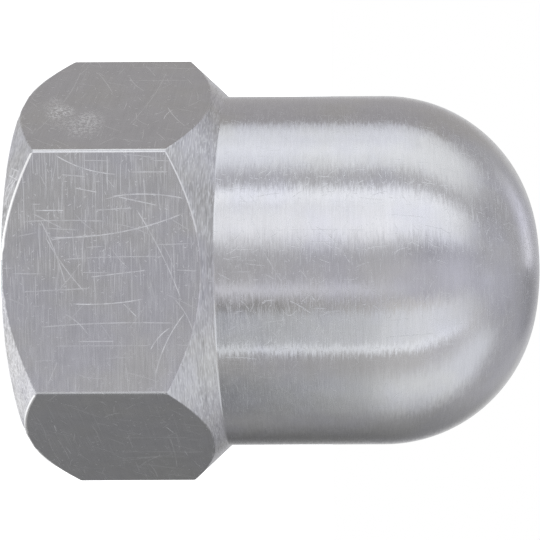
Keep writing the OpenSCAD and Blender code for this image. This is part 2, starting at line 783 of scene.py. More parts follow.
def ladder(outer: Sequence[Any], inner: Sequence[Any]) -> list[tuple]:
    """Joins two level rings of different counts with triangles that face down.

    Args:
        outer: The wider ring's vertices.
        inner: The narrower ring's vertices.

    Returns:
        The corners of each triangle.
    """
    def by_angle(ring: Sequence[Any]) -> list[tuple[float, Any]]:
        """Puts a ring in order.

        Args:
            ring: Its vertices.

        Returns:
            Angle and vertex of each, in order of angle, with the first again at the end.
        """
        turned = [(math.atan2(vertex.co.y, vertex.co.x) % (2 * math.pi), vertex) for vertex in ring]
        turned.sort(key=lambda pair: pair[0])
        return turned + [(turned[0][0] + 2 * math.pi, turned[0][1])]

    wide, narrow = by_angle(outer), by_angle(inner)
    rungs, at, by = [], 0, 0
    while at < len(wide) - 1 or by < len(narrow) - 1:
        wide_next = wide[at + 1][0] if at < len(wide) - 1 else math.inf
        narrow_next = narrow[by + 1][0] if by < len(narrow) - 1 else math.inf
        if wide_next <= narrow_next:
            rungs.append((wide[at + 1][1], wide[at][1], narrow[by][1]))
            at += 1
        else:
            rungs.append((narrow[by][1], narrow[by + 1][1], wide[at][1]))
            by += 1
    return rungs


@dataclass
class Bore:
    """The blind bore: countersink, screw thread that runs out before the end, and drill point."""

    sizes: NutSizes
    columns: int = 120
    pitch: float = 1.75
    root_r: float = 6.02
    root_flat: float = 0.22
    flank_slope: float = math.tan(math.radians(30.0))
    rows_per_turn: int = 20
    run_out: float = 2.6
    point_rings: int = 3

    def _grow_tree(self) -> bpy.types.NodeTree:
        """Builds the Geometry Nodes tree of the thread.

        A flat grid is rolled into a tube whose rows climb by one pitch in each turn, so that every
        row follows the helix and the thread's section depends on the row alone.

        Returns:
            The tree.
        """
        sizes = ("Turns", "Pitch", "Crest Radius", "Root Radius", "Mouth Radius", "Start", "End",
                 "Root Flat", "Flank Slope", "Run-out")
        inputs = {"Columns": "Int", "Rows": "Int", **dict.fromkeys(sizes, "Float"), "Material": "Material"}
        desk = Desk.for_group("internal_thread", "Geometry", inputs, ("Thread", "Geometry"))
        given = desk.add("NodeGroupInput").outputs
        grid = desk.add("GeometryNodeMeshGrid", {"Size X": 1.0, "Size Y": 1.0,
                                                 "Vertices X": desk.math("ADD", given["Columns"], 1.0),
                                                 "Vertices Y": desk.math("ADD", given["Rows"], 1.0)})
        across, along, _ = desk.split(desk.add("GeometryNodeInputPosition").outputs[0])
        lap = desk.math("ADD", across, 0.5)
        turns = desk.math("MULTIPLY", desk.math("ADD", along, 0.5), given["Turns"])
        laps = desk.math("ADD", desk.math("SUBTRACT", turns, 1.0), lap)
        climb = desk.math("MULTIPLY", laps, given["Pitch"])
        height = desk.math("MINIMUM", desk.math("MAXIMUM", climb, given["Start"]), given["End"])
        phase = desk.math("SUBTRACT", desk.math("FRACT", turns), 0.5)
        from_root = desk.math("MULTIPLY", desk.math("ABSOLUTE", phase), given["Pitch"])
        past_flat = desk.math("MULTIPLY_ADD", given["Root Flat"], -0.5, from_root)
        rise = desk.math("DIVIDE", desk.math("MAXIMUM", past_flat, 0.0), given["Flank Slope"])
        full = desk.math("SUBTRACT", given["Root Radius"], given["Crest Radius"])
        depth = desk.math("MAXIMUM", desk.math("SUBTRACT", full, rise), 0.0)
        to_end = desk.math("SUBTRACT", given["End"], height)
        cut = desk.math("MULTIPLY", depth, desk.ease(to_end, 0.0, given["Run-out"]))
        wall = desk.math("ADD", given["Crest Radius"], cut)
        radius = desk.math("MAXIMUM", wall, desk.math("SUBTRACT", given["Mouth Radius"], height))
        turned = desk.math("MULTIPLY", lap, 2 * math.pi)
        spot = desk.join(desk.math("MULTIPLY", radius, desk.math("COSINE", turned)),
                         desk.math("MULTIPLY", radius, desk.math("SINE", turned)), height)
        shape = grid.outputs["Mesh"]
        for kind, feeds in (("SetPosition", {"Position": desk.scale(spot, MM)}), ("FlipFaces", {}),
                            ("MergeByDistance", {"Distance": MICRON}), ("RealizeInstances", {}),
                            ("SetMaterial", {"Material": given["Material"]})):
            shape = desk.add(f"GeometryNode{kind}", {0: shape, **feeds}).outputs[0]
        desk.add("NodeGroupOutput", {0: shape})
        return desk.tree

    def thread_mesh(self, start: float, finish: bpy.types.Material) -> bpy.types.Mesh:
        """Cuts the thread and returns it as a plain mesh.

        Args:
            start: Height at which the countersink's rounded edge ends.
            finish: The bore's material.

        Returns:
            The tube from there to the drill point, facing inwards.
        """
        s = self.sizes
        turns = math.ceil(s.bore_depth / self.pitch) + 1
        values = {"Columns": self.columns, "Rows": turns * self.rows_per_turn, "Turns": float(turns),
                  "Pitch": self.pitch, "Crest Radius": s.bore_r, "Root Radius": self.root_r,
                  "Mouth Radius": s.mouth_r, "Start": start, "End": s.bore_depth,
                  "Root Flat": self.root_flat, "Flank Slope": self.flank_slope,
                  "Run-out": self.run_out, "Material": finish}
        holder = place_object("thread_holder", bpy.data.meshes.new("thread_holder"))
        modifier = holder.modifiers.new("thread", "NODES")
        modifier.node_group = self._grow_tree()
        for item in modifier.node_group.interface.items_tree:
            if item.in_out == "INPUT":
                modifier[item.identifier] = values[item.name]
        bpy.context.view_layer.update()
        made = holder.evaluated_get(bpy.context.evaluated_depsgraph_get())
        mesh = bpy.data.meshes.new_from_object(made)
        bpy.data.objects.remove(holder)
        return mesh

    def lay(self, draft: Draft, start: float, finish: bpy.types.Material) -> None:
        """Adds the thread and the drill point to the nut's mesh.

        Args:
            draft: The nut's mesh. Its layer of true normals is left empty on the thread.
            start: Height at which the countersink's rounded edge ends.
            finish: The bore's material.
        """
        s = self.sizes
        first = len(draft.mesh.faces)
        draft.mesh.from_mesh(self.thread_mesh(start, finish))
        draft.mesh.faces.ensure_lookup_table()
        for face in draft.mesh.faces[first:]:
            face.material_index = Zone.BORE.value
        turn = math.atan2(-s.bore_r, -s.point_height)
        rings = []
        for step in range(self.point_rings):
            share = step / self.point_rings
            height = s.bore_depth + s.point_height * share
            rings.append(draft.ring(self.columns, s.bore_r * (1 - share), height, turn))
        for lower, upper in zip(rings, rings[1:]):
            draft.band(lower, upper, Zone.BORE)
        tip = draft.vertex((0.0, 0.0, s.bore_depth + s.point_height), (0.0, 0.0, -1.0))
        for index, after in once_round(self.columns):
            draft.face([rings[-1][after], rings[-1][index], tip], Zone.BORE)


@dataclass(frozen=True)
class Scratches:
    """A scatter of thin scratches, one in each cell of the surface.

    Attributes:
        cells: Cells per millimetre.
        angle: Direction of the scratches, in degrees from level.
        spread: How far the direction strays, in degrees.
        length: Half length of the longest one.
        width: Half width.
        bend: Greatest curvature, per millimetre.
        share: Part of the cells that hold one.
        strength: How strongly it shows.
    """

    cells: float
    angle: float
    spread: float
    length: float
    width: float
    bend: float
    share: float
    strength: float


@dataclass(frozen=True)
class Streaks:
    """Fine broken lines round the nut, left by brushing or turning, lighter than the metal beside them.

    Attributes:
        length: Usual length of a line.
        pitch: Usual distance from one line to the next.
        start: Value of the noise at which a line starts to show. A lower one gives more lines.
        strength: How strongly they show.
    """

    length: float
    pitch: float
    start: float
    strength: float


@dataclass(frozen=True)
class LongScratch:
    """One long scratch, from one point to another, bowed to a side.

    Attributes:
        side: The side of the nut it is on.
        start: Where it starts: along the side from its middle, and up from the bearing face.
        end: Where it ends.
        strength: How strongly it shows.
        bow: How far its middle stands off the straight line.
        width: Half width.
    """

    side: int
    start: tuple[float, float]
    end: tuple[float, float]
    strength: float = 0.6
    bow: float = 0.0
    width: float = 0.037


def scratches_on(side: int, *rows: tuple) -> tuple[LongScratch, ...]:
    """Makes the single scratches of one side.

    Args:
        side: The side of the nut they are on.
        *rows: For each, its start and its end, then as far as needed its strength, bow and width.

    Returns:
        The scratches, in the same order.
    """
    return tuple(LongScratch(side, *row) for row in rows)


@dataclass(frozen=True)
class Rub:
    """A rubbed patch on a flat.

    Attributes:
        side: The flat it is on.
        middle: Along the flat from its middle, and up from the bearing face.
        reach: Half width and half height.
        strength: How strongly it shows.
    """

    side: int
    middle: tuple[float, float]
    reach: tuple[float, float]
    strength: float = 1.0


# Patterns that every finish shares.
CLOUDS = Noise(0.22, 4.0, 0.6)
CLOUD_EDGE = (0.38, 0.62)
MOTTLE = Noise(1.1, 5.0, 0.7)
MOTTLED_ROUGHNESS = 0.06
UNEVEN = Noise(2.4, 2.0, 0.6)
UNEVEN_EDGE = (0.3, 0.6, 0.45, 1.0)
FLECKS = Noise(7.0, 4.0, 0.75)
FLECK_EDGE = (0.44, 0.60)
RUB_CORE = 0.35

# The grain: how much wider each layer is, with its detail, and the broad layer's share of the whole.
GRAIN_LAYERS = ((1.0, 3.0), (4.0, 2.0))
BROAD_SHARE = 0.4
GRAIN_ROUGHNESS = 0.6
GRAIN_ROTATION = 0.25
WAVER_SIZE = (0.6, 1.3)
WAVER_DETAIL = 3.0
STREAK_NOISE = (1.0, 0.5)
STREAK_EDGE = 0.12

# Scratches: the shortest as a part of the longest, where along them they start to taper, and the
# numbers that set one layer or one cell off from another.
SHORTEST = 0.25
TAPER_START = 0.4
LONG_TAPER_START = 0.85
SHUFFLE = (7.31, 3.7)
SEED_STEP = 17.3
LAYER_STEP = (3.7, 5.1)
QUEUE_NUDGE = 1e-6


def queued(desk: Desk, surface: Socket, before: Socket) -> Socket:
    """Makes a mark wait for the one before it, so that the shader never works on many at once.

    Args:
        desk: Where the nodes go.
        surface: Place on the surface map.
        before: The marks drawn so far.

    Returns:
        The place, moved by far less than a scratch's width.
    """
    nudge = desk.math("MULTIPLY", before, QUEUE_NUDGE)
    return desk.vector("ADD", surface, desk.join(nudge, nudge, 0.0))


def scratch_group() -> bpy.types.NodeTree:
    """Builds the shared node group that draws one short scratch in each cell of a surface, once.

    Returns:
        The group.
    """
    found = bpy.data.node_groups.get("scratch_scatter")
    if found:
        return found
    names = ("Before", "Cells", "Seed", "Angle", "Spread", "Length", "Width", "Bend", "Share", "Strength")
    inputs = {"Surface": "Vector"} | dict.fromkeys(names, "Float")
    desk = Desk.for_group("scratch_scatter", "Shader", inputs, ("Mark", "Float"))
    given = desk.add("NodeGroupInput").outputs
    scaled = desk.scale(queued(desk, given["Surface"], given["Before"]), given["Cells"])
    spot = desk.vector("ADD", scaled, desk.join(given["Seed"], given["Seed"], 0.0))
    cell = desk.add("ShaderNodeTexVoronoi", {"Vector": spot, "Scale": 1.0}, voronoi_dimensions="2D",
                    feature="F1").outputs
    chance = desk.split(cell["Color"])
    offset = desk.vector("SUBTRACT", spot, cell["Position"])
    stray = desk.math("MULTIPLY", desk.signed(chance[0]), given["Spread"])
    turned = desk.turn(desk.scale(offset, desk.math("DIVIDE", 1.0, given["Cells"])),
                       desk.math("MULTIPLY", desk.math("ADD", stray, given["Angle"]), -1.0))
    along, across, _ = desk.split(turned)
    bend = desk.math("MULTIPLY", desk.signed(chance[1]), given["Bend"])
    crest = desk.math("MULTIPLY", bend, desk.math("MULTIPLY", along, along))
    bowed = desk.math("ABSOLUTE", desk.math("SUBTRACT", across, crest))
    part = desk.math("MULTIPLY_ADD", chance[2], 1.0 - SHORTEST, SHORTEST)
    reach = desk.math("MULTIPLY", given["Length"], part)
    ends = desk.ease(desk.math("ABSOLUTE", along), reach, desk.math("MULTIPLY", reach, TAPER_START))
    line = desk.math("MULTIPLY", desk.ease(bowed, given["Width"], 0.0), ends)
    draw = desk.math("MULTIPLY_ADD", chance[0], SHUFFLE[0], desk.math("MULTIPLY", chance[2], SHUFFLE[1]))
    drawn = desk.math("LESS_THAN", desk.math("FRACT", draw), given["Share"])
    shown = desk.math("MULTIPLY", line, desk.math("MULTIPLY", drawn, given["Strength"]))
    desk.add("NodeGroupOutput", {0: desk.math("MAXIMUM", given["Before"], shown)})
    return desk.tree


def long_group() -> bpy.types.NodeTree:
    """Builds the shared node group that draws one long bowed scratch, once.

    Returns:
        The group.
    """
    found = bpy.data.node_groups.get("long_scratch")
    if found:
        return found
    inputs = {"Surface": "Vector", "Before": "Float", "Middle": "Vector"}
    inputs |= dict.fromkeys(("Angle", "Half Length", "Bow", "Width", "Strength"), "Float")
    desk = Desk.for_group("long_scratch", "Shader", inputs, ("Mark", "Float"))
    given = desk.add("NodeGroupInput").outputs
    spot = queued(desk, given["Surface"], given["Before"])
    turned = desk.turn(desk.vector("SUBTRACT", spot, given["Middle"]), given["Angle"])
    along, across, _ = desk.split(turned)
    share = desk.math("DIVIDE", along, given["Half Length"])
    arch = desk.math("SUBTRACT", 1.0, desk.math("MULTIPLY", share, share))
    off = desk.math("ABSOLUTE", desk.math("SUBTRACT", across, desk.math("MULTIPLY", given["Bow"], arch)))
    ends = desk.ease(desk.math("ABSOLUTE", share), 1.0, LONG_TAPER_START)
    shown = desk.math("MULTIPLY", ends, given["Strength"])
    line = desk.math("MULTIPLY", desk.ease(off, given["Width"], 0.0), shown)
    desk.add("NodeGroupOutput", {0: desk.math("MAXIMUM", given["Before"], line)})
    return desk.tree


@dataclass(frozen=True)
class Skin:
    """The surface that a finish is drawn on.

    Attributes:
        desk: Where the nodes go.
        body: Place on the nut, in millimetres.
        surface: Place on the surface map.
        middles: The surface map's place of the middle of each side.
    """

    desk: Desk
    body: Socket
    surface: Socket
    middles: tuple[float, ...]

    def drawn(self, along: float, across: float, detail: float, roughness: float, layer: int = 0) -> Socket:
        """Reads a noise drawn out round the nut.

        Args:
            along: Size of its lumps round the nut.
            across: Size of its lumps up the nut.
            detail: How many finer layers it has.
            roughness: Strength of each finer layer.
            layer: Number that sets it off from others of its kind.

        Returns:
            A number round 0.5.
        """
        desk = self.desk
        walked = [desk.math("MULTIPLY_ADD", part, 1 / along, layer * step / along)
                  for part, step in zip(desk.split(self.body), LAYER_STEP)]
        rise = desk.math("MULTIPLY", desk.split(self.surface)[1], 1 / across)
        return desk.noise(desk.join(*walked, rise), Noise(1.0, detail, roughness))


@dataclass(frozen=True)
class Grain:
    """The fine lines that turning and brushing leave, which run round the nut.

    Attributes:
        along: Length of a line.
        across: Distance from one line to the next.
        contrast: How much the lines differ in tone.
        depth: Height of the lines, in micrometres.
    """

    along: float
    across: float
    contrast: float
    depth: float


@dataclass(frozen=True)
class MetalFinish:
    """A bare metal finish, built as nodes from its grain, clouding and scratches.

    Attributes:
        name: The material's name.
        tone: Colour of the clean metal.
        cool: Colour of its cooler clouds.
        warm: Colour of its warmer clouds.
        marked: Colour of a scratch.
        roughness: Roughness of the clean metal.
        marked_roughness: How much rougher a scratch is.
        anisotropy: How far highlights spread across the grain.
        grain: The fine lines of machining.
        waver: How far the lines turn the light round the nut, in radians.
        clouding: Unevenness of the tone.
        tinting: How much of the tone is taken over by the cooler and warmer clouds.
        streaks: Layers of fine lighter lines.
        scratches: Layers of scattered scratches.
        long_scratches: Single scratches.
        rubs: Rubbed patches.
        smoother: Where along X the wear starts to fade, where it stops fading, and the share left there.
        scratch_depth: Depth of a scratch, in micrometres.
    """

    name: str
    tone: Colour = (0.60, 0.60, 0.615)
    cool: Colour = (0.585, 0.585, 0.64)
    warm: Colour = (0.61, 0.605, 0.585)
    marked: Colour = (0.92, 0.93, 0.95)
    roughness: float = 0.3
    marked_roughness: float = 0.2
    anisotropy: float = 0.85
    grain: Grain = Grain(1.6, 0.09, 0.16, 2.5)
    waver: float = 0.12
    clouding: float = 0.10
    tinting: float = 0.5
    streaks: tuple[Streaks, ...] = ()
    scratches: tuple[Scratches, ...] = ()
    long_scratches: tuple[LongScratch, ...] = ()
    rubs: tuple[Rub, ...] = ()
    smoother: tuple[float, float, float] | None = None
    scratch_depth: float = 2.0

    def material(self, middles: tuple[float, ...]) -> bpy.types.Material:
        """Builds the material.

        Args:
            middles: The surface map's place of the middle of each side.

        Returns:
            The finished material.
        """
        made = bpy.data.materials.new(self.name)
        desk = Desk.for_owner(made)
        body = desk.scale(desk.add("ShaderNodeTexCoord").outputs["Object"], 1 / MM)
        skin = Skin(desk, body, desk.add("ShaderNodeUVMap", uv_map=SURFACE_MAP).outputs[0], middles)
        lines = self._lines(skin)
        marks = self._marks(skin)
        hue = desk.tint(desk.ease(desk.noise(body, CLOUDS), *CLOUD_EDGE), self.warm, self.cool)
        mottle = desk.signed(desk.noise(body, MOTTLE))
        shade = desk.math("MULTIPLY_ADD", mottle, self.clouding, 1.0)
        shade = desk.math("MULTIPLY_ADD", desk.signed(lines), self.grain.contrast, shade)
        base = desk.scale(desk.tint(self.tinting, self.tone, hue), shade)
        height = desk.math("MULTIPLY", lines, self.grain.depth)
        height = desk.math("MULTIPLY_ADD", marks, -self.scratch_depth, height)
        rough = desk.math("MULTIPLY_ADD", mottle, MOTTLED_ROUGHNESS, self.roughness)
        tangent = desk.add("ShaderNodeTangent", direction_type="RADIAL", axis="Z").outputs[0]
        bump = desk.add("ShaderNodeBump", {"Strength": 1.0, "Distance": MICRON, "Height": height,
                                           "Normal": self._wavering(skin, tangent)})
        shader = desk.add("ShaderNodeBsdfPrincipled", {
            "Base Color": desk.tint(marks, base, self.marked), "Metallic": 1.0, "Normal": bump.outputs[0],
            "Roughness": desk.math("MULTIPLY_ADD", marks, self.marked_roughness, rough),
            "Anisotropic": self.anisotropy, "Anisotropic Rotation": GRAIN_ROTATION, "Tangent": tangent})
        desk.add("ShaderNodeOutputMaterial", {0: shader.outputs[0]})
        return made

    def _lines(self, skin: Skin) -> Socket:
        """Draws the grain in two layers, a fine one and a broad one.

        Args:
            skin: The surface drawn on.

        Returns:
            A number round 0.5.
        """
        layers = [skin.drawn(self.grain.along * wider, self.grain.across * wider, detail, GRAIN_ROUGHNESS)
                  for wider, detail in GRAIN_LAYERS]
        return skin.desk.blend(BROAD_SHARE, *layers)

    def _wavering(self, skin: Skin, tangent: Socket) -> Socket:
        """Turns the normal a little to one side or the other along each line of the grain.

        Args:
            skin: The surface drawn on.
            tangent: Direction of the grain.

        Returns:
            The turned normal.
        """
        desk = skin.desk
        straight = desk.add("ShaderNodeNewGeometry").outputs["Normal"]
        along, across = self.grain.along * WAVER_SIZE[0], self.grain.across * WAVER_SIZE[1]
        sway = desk.signed(skin.drawn(along, across, WAVER_DETAIL, GRAIN_ROUGHNESS))
        lean = desk.scale(tangent, desk.math("MULTIPLY", sway, self.waver))
        return desk.vector("NORMALIZE", desk.vector("ADD", straight, lean))

    def _marks(self, skin: Skin) -> Socket:
        """Draws every streak, scratch and rubbed patch, the strongest showing where they cross.

        Args:
            skin: The surface drawn on.

        Returns:
            How strongly the surface is marked, from 0 to 1.
        """
        desk = skin.desk
        total: Any = 0.0
        for index, streak in enumerate(self.streaks):
            drawn = skin.drawn(streak.length, streak.pitch, *STREAK_NOISE, layer=index)
            shown = desk.ease(drawn, streak.start, streak.start + STREAK_EDGE)
            total = desk.math("MAXIMUM", total, desk.math("MULTIPLY", shown, streak.strength))
        for index, scatter in enumerate(self.scratches):
            feeds = {"Surface": skin.surface, "Before": total, "Seed": SEED_STEP * (index + 1),
                     "Cells": scatter.cells, "Angle": math.radians(scatter.angle),
                     "Spread": math.radians(scatter.spread), "Length": scatter.length,
                     "Width": scatter.width, "Bend": scatter.bend, "Share": scatter.share,
                     "Strength": scatter.strength}
            total = desk.add("ShaderNodeGroup", feeds, node_tree=scratch_group()).outputs[0]
        if self.smoother:
            start, end, left = self.smoother
            total = desk.math("MULTIPLY", total, desk.ease(desk.split(skin.body)[0], start, end, 1.0, left))
        if self.long_scratches:
            total = desk.math("MAXIMUM", total, self._long_marks(skin))
        if self.rubs:
            total = desk.math("MAXIMUM", total, self._rubbed(skin))
        return desk.math("MINIMUM", total, 1.0)

    def _long_marks(self, skin: Skin) -> Socket:
        """Draws the single long scratches, each thinner in places.

        Args:
            skin: The surface drawn on.

        Returns:
            How strongly they show.
        """
        desk = skin.desk
        total: Any = 0.0
        for scratch in self.long_scratches:
            start, end = Vector(scratch.start), Vector(scratch.end)
            middle, run = (start + end) / 2, end - start
            feeds = {"Surface": skin.surface, "Before": total, "Bow": scratch.bow, "Width": scratch.width,
                     "Middle": (middle.x + skin.middles[scratch.side], middle.y, 0.0),
                     "Angle": -math.atan2(run.y, run.x), "Half Length": run.length / 2,
                     "Strength": scratch.strength}
            total = desk.add("ShaderNodeGroup", feeds, node_tree=long_group()).outputs[0]
        return desk.math("MULTIPLY", total, desk.ease(desk.noise(skin.body, UNEVEN), *UNEVEN_EDGE))

    def _rubbed(self, skin: Skin) -> Socket:
        """Draws the rubbed patches, flecked and soft at the rim.

        Args:
            skin: The surface drawn on.

        Returns:
            How strongly they show.
        """
        desk = skin.desk
        flecks = desk.ease(desk.noise(skin.body, FLECKS), *FLECK_EDGE)
        total: Any = 0.0
        for rub in self.rubs:
            middle = (rub.middle[0] + skin.middles[rub.side], rub.middle[1], 0.0)
            offset = desk.vector("SUBTRACT", skin.surface, middle)
            far = desk.vector("LENGTH", desk.vector("DIVIDE", offset, (*rub.reach, 1.0)))
            patch = desk.math("MULTIPLY", desk.ease(far, 1.0, RUB_CORE), flecks)
            total = desk.math("MAXIMUM", total, desk.math("MULTIPLY", patch, rub.strength))
        return total


class Finishes:
    """The nut's finishes, one for each zone."""

    def __init__(self) -> None:
        """Plans the finish of each zone."""
        self.by_zone = {
            Zone.FLAT: self._plain_flat(),
            Zone.WORN_FLAT: self._worn_flat(),
            Zone.LOWER_CHAMFER: self._lower_chamfer(),
            Zone.UPPER_CHAMFER: MetalFinish(
                "upper_chamfer", tone=(0.572, 0.57, 0.592), clouding=0.05,
                grain=Grain(0.6, 0.034, 0.75, 2.5),
                streaks=(Streaks(0.32, 0.032, 0.55, 0.55), Streaks(0.7, 0.04, 0.60, 0.60)),
                scratches=(Scratches(2.0, 90.0, 80.0, 0.14, 0.03, 0.4, 0.4, 0.5),)),
            Zone.CROWN: self._crown(),
            # The paler edge finish: a painted highlight for the bright line of a rounded edge.
            Zone.EDGE: MetalFinish(
                "edge_painted_highlight", tone=(0.76, 0.76, 0.77), roughness=0.36, anisotropy=0.0,
                grain=Grain(1.0, 0.09, 0.20, 0.5), waver=0.0, tinting=0.0),
            Zone.BEARING: MetalFinish("bearing_face", roughness=0.34),
            Zone.BORE: MetalFinish("cut_thread", grain=Grain(2.0, 0.12, 0.12, 2.0)),
            # The white rim finish: a painted highlight for the bright lower edges, whiter than bare metal.
            Zone.LOWER_EDGE: MetalFinish(
                "rim_painted_highlight", tone=WHITE, roughness=0.28, anisotropy=0.0,
                grain=Grain(0.5, 0.07, 0.20, 0.5), waver=0.0, tinting=0.0),
        }

    @staticmethod
    def _plain_flat() -> MetalFinish:
        """The smoother flats: faint grain, a few scratches and, on one side, rubbed patches.

        Returns:
            The finish.
        """
        long_scratches = scratches_on(
            UPPER_SIDE, ((-4.6, 4.5), (-4.4, 8.0), 0.45), ((-2.8, 4.3), (-2.8, 7.7), 0.55),
            ((-4.2, 2.0), (3.6, 1.2), 0.45, 0.3), ((-4.0, 6.4), (2.9, 5.4), 0.42, 0.2),
            ((-3.9, 2.9), (-1.1, 4.1), 0.55, 0.05), ((-3.3, 4.6), (-1.4, 5.6), 0.6, -0.1),
            ((-4.9, 5.2), (-3.4, 5.9), 0.55), ((2.1, 7.0), (0.9, 7.3), 0.8, 0.1),
            ((0.6, 7.0), (2.9, 8.1), 0.85, -0.1), ((-0.4, 1.2), (0.9, 1.8), 0.7, 0.1),
            ((2.6, 5.6), (2.9, 5.9)))
        long_scratches += scratches_on(
            LOWER_SIDE, ((1.3, 4.1), (1.6, 8.2), 0.45, 0.05), ((2.2, 4.6), (2.1, 7.4), 0.5),
            ((-0.5, 1.0), (3.0, 0.95), 0.4, -0.1, 0.03), ((-0.2, 1.4), (2.4, 1.45), 0.55, 0.05, 0.03),
            ((-2.0, 1.6), (-1.2, 1.55), 0.9, 0.0, 0.04), ((-3.1, 0.95), (-0.2, 0.85), 0.45, 0.1, 0.03),
            ((0.6, 1.6), (1.7, 1.7)), ((-0.4, 4.5), (-0.4, 7.9), 0.5),
            ((1.45, 4.2), (1.45, 8.5), 0.4, 0.0, 0.03), ((2.7, 3.9), (1.9, 6.7), 0.6, 0.05),
            ((2.3, 4.1), (2.0, 6.0), 0.5), ((-0.4, 4.9), (0.9, 4.9), 0.4),
            ((-0.4, 6.9), (3.6, 6.75), 0.5, 0.05), ((2.8, 4.75), (4.2, 4.75), 0.5),
            ((2.95, 5.35), (5.0, 5.55), 0.5, 0.1), ((1.3, 7.4), (2.0, 7.5), 0.7),
            ((-2.8, 4.1), (-3.4, 5.0), 0.7, 0.1), ((3.6, 4.8), (1.8, 6.4), 0.6, 0.2),
            ((3.1, 5.0), (3.9, 6.8), 0.5, 0.1), ((-3.3, 4.3), (-3.1, 4.6), 0.7),
            ((-2.2, 4.4), (-1.9, 4.6), 0.9), ((-1.7, 6.9), (-1.0, 7.15), 1.0))
        rubs = (Rub(UPPER_SIDE, (1.2, 1.95), (1.2, 0.9), 0.95),
                Rub(UPPER_SIDE, (2.6, 3.35), (2.0, 1.15), 0.75),
                Rub(UPPER_SIDE, (0.2, 1.4), (1.2, 0.6), 0.4),
                Rub(UPPER_SIDE, (2.4, 2.5), (1.2, 0.9), 0.45))
        return MetalFinish(
            "brushed_flat", tone=(0.555, 0.555, 0.57), roughness=0.25, anisotropy=0.6, waver=0.02,
            tinting=0.25, grain=Grain(2.0, 0.08, 0.10, 1.2), streaks=(Streaks(3.0, 0.06, 0.62, 0.16),),
            scratches=(Scratches(1.8, 90.0, 80.0, 0.12, 0.03, 0.4, 0.45, 0.8),
                       Scratches(0.9, 15.0, 60.0, 0.8, 0.028, 0.15, 0.65, 0.5),
                       Scratches(0.5, 60.0, 30.0, 1.3, 0.028, 0.08, 0.6, 0.45)),
            long_scratches=long_scratches, rubs=rubs)

    @staticmethod
    def _worn_flat() -> MetalFinish:
        """The flat that shows the most wear: fine upright lines crossed by long scratches.

        Returns:
            The finish.
        """
        long_scratches = scratches_on(
            FRONT, ((-5.3, 2.5), (-4.4, 5.3), 0.85, -0.2), ((-3.8, 3.4), (-3.6, 4.4), 0.7),
            ((-3.4, 5.0), (-3.3, 8.3), 0.9, 0.16), ((-3.4, 5.3), (-3.0, 7.1), 0.7),
            ((-2.9, 6.1), (1.2, 8.1), 0.75, 0.12), ((-2.4, 1.8), (0.5, 2.9), 0.6, 0.1),
            ((-1.6, 2.05), (0.9, 3.8), 0.6, -0.1), ((-1.6, 2.2), (-2.7, 8.4), 0.75, -0.35),
            ((-1.5, 2.3), (-1.7, 4.4)), ((-2.8, 1.6), (-2.8, 2.9), 0.9), ((-2.65, 1.5), (-2.0, 2.8), 0.5),
            ((-2.8, 4.3), (-2.9, 6.0)), ((-2.3, 0.9), (-2.3, 4.8), 0.5, 0.05),
            ((-0.6, 2.8), (-0.7, 7.4), 0.45, 0.05), ((0.2, 4.0), (-0.1, 6.6), 0.65),
            ((-0.1, 7.9), (-0.05, 8.8), 0.5), ((-4.4, 2.8), (-4.3, 3.9)), ((-4.5, 5.9), (-4.5, 7.6)),
            ((-5.3, 4.63), (-1.3, 4.63), 0.5, 0.0, 0.03), ((-5.3, 4.86), (-3.6, 4.86), 0.7, 0.0, 0.03),
            ((-5.0, 4.3), (-1.0, 4.33), 0.35, 0.0, 0.03), ((-3.0, 6.7), (-0.4, 6.7), 0.4, 0.0, 0.03),
            ((-5.2, 3.28), (-4.1, 3.28), 0.45, 0.0, 0.03), ((0.85, 0.95), (0.7, 4.1), 0.5),
            ((1.4, 3.2), (1.2, 6.4), 0.85, -0.1), ((2.45, 1.7), (2.3, 7.9), 0.55, 0.1),
            ((3.1, 3.4), (3.1, 5.1), 0.5), ((3.3, 2.3), (3.3, 6.8), 0.3),
            ((1.8, 8.3), (4.7, 6.9), 0.85, -0.2), ((2.5, 7.6), (3.5, 6.7), 0.8, -0.1),
            ((1.2, 7.8), (2.6, 8.6), 0.5, 0.1), ((1.4, 5.5), (2.0, 6.1), 0.65),
            ((1.85, 2.85), (2.8, 3.9), 0.55, 0.1), ((4.0, 2.5), (5.05, 2.05), 0.45))
        return MetalFinish(
            "worn_flat", tone=(0.53, 0.53, 0.545), roughness=0.25, anisotropy=0.6, waver=0.03, tinting=0.45,
            grain=Grain(1.6, 0.07, 0.20, 2.0),
            streaks=(Streaks(0.9, 0.045, 0.57, 0.22), Streaks(2.2, 0.05, 0.60, 0.34)),
            scratches=(Scratches(3.0, 90.0, 80.0, 0.11, 0.026, 0.4, 0.45, 0.6),
                       Scratches(0.6, 0.0, 90.0, 1.2, 0.026, 0.2, 0.6, 0.42),
                       Scratches(0.6, 90.0, 6.0, 1.0, 0.026, 0.1, 0.5, 0.5),
                       Scratches(1.5, 0.0, 4.0, 0.9, 0.024, 0.05, 0.6, 0.45),
                       Scratches(0.8, 0.0, 3.0, 2.0, 0.026, 0.03, 0.7, 0.55)),
            smoother=(-1.0, 3.0, 0.5), long_scratches=long_scratches)

